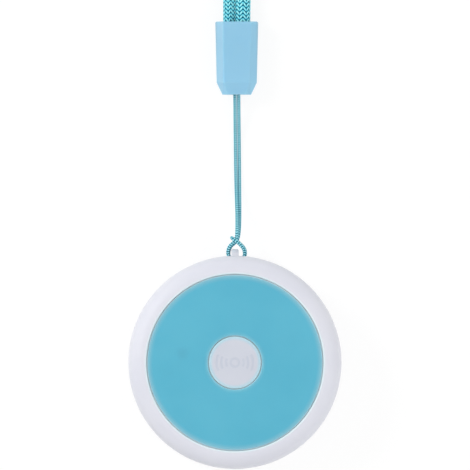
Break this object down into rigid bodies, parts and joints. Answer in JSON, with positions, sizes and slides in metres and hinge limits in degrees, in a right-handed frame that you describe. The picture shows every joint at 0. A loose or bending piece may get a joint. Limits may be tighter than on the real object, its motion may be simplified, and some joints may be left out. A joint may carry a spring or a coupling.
{
  "type": "gps tracker",
  "caption": "Round wearable tracker pendant with a call button in a light blue face plate, hung from a hitched thin cord, a plastic ferrule and a braided neck cord.",
  "frame": {"origin": "centre of the case's flat rear face, which lies on the surface", "axes": "+Z out of the face plate, +Y from the case's centre to the bail and along the lanyard, +X to the right seen from the front"},
  "size_m": [0.048, 0.157, 0.014],
  "materials": {
    "shell_white": "satin moulded",
    "face_blue": "soft gloss, faintly translucent",
    "button_white": "satin moulded",
    "seal_silicone": "soft silicone",
    "film_clear": "adhesive film",
    "board_green": "solder mask",
    "ceramic_tan": "fired, silvered top",
    "shield_tin": "tinned sheet",
    "chip_black": "moulded epoxy",
    "card_white": "plain card plastic",
    "switch_black": "moulded",
    "plunger_red": "moulded",
    "motor_steel": "drawn sheet",
    "rotor_heavy": "sintered heavy alloy",
    "lamp_white": "lamp with resin lens",
    "guide_clear": "clear moulded rod",
    "foam_grey": "closed-cell foam",
    "battery_foil": "laminated pouch",
    "lead_red": "wire insulation",
    "connector_white": "moulded",
    "pin_gold": "gold plated",
    "magnet_nickel": "nickel plated",
    "flex_amber": "copper strip under amber film",
    "screw_steel": "zinc plated",
    "ferrule_blue": "soft gloss moulded",
    "crimp_steel": "folded sheet",
    "thin_cord": "fine braid",
    "neck_cord": "round braid"
  },
  "bodies": {
    "case": {"rear_shell": "shell_white", "front_shell": "shell_white", "face_plate": "face_blue", "plate_film": "film_clear", "shell_gasket": "seal_silicone", "case_screws": "screw_steel", "button_seal": "seal_silicone", "seal_retainer": "switch_black", "switch_body": "switch_black", "main_board": "board_green", "positioning_antenna": "ceramic_tan", "positioning_receiver": "shield_tin", "cellular_module": "shield_tin", "controller_chip": "chip_black", "motion_sensor": "chip_black", "sim_holder": "shield_tin", "sim_card": "card_white", "motor_base": "motor_steel", "motor_can": "motor_steel", "status_lamp": "lamp_white", "light_guide": "guide_clear", "microphone": "shield_tin", "microphone_boot": "seal_silicone", "battery_cell": "battery_foil", "battery_pad": "foam_grey", "battery_lead": "lead_red", "battery_plug": "connector_white", "battery_socket": "connector_white", "loudspeaker": "switch_black", "speaker_gasket": "foam_grey", "charge_pins": "pin_gold", "charge_magnets": "magnet_nickel", "cellular_antenna": "flex_amber", "antenna_spring": "pin_gold", "cord_ferrule": "ferrule_blue", "cord_crimp": "crimp_steel", "hitch_cord": "thin_cord", "neck_cord_left": "neck_cord", "neck_cord_right": "neck_cord", "neck_cord_coil": "neck_cord"},
    "button": {"call_button": "button_white", "switch_plunger": "plunger_red"},
    "rotor": {"motor_rotor": "rotor_heavy"}
  },
  "joints": [
    {"name": "button_press", "type": "slide", "parent": "case", "child": "button", "axis": [0, 0, -1], "range_m": [0, 0.00035], "stiffness_N_per_m": 3000, "deforming": ["button_seal"]},
    {"name": "rotor_spin", "type": "hinge", "parent": "case", "child": "rotor", "pos_m": [-0.0132, -0.003, 0.0083], "axis": [0, 0, 1], "continuous": true}
  ]
}
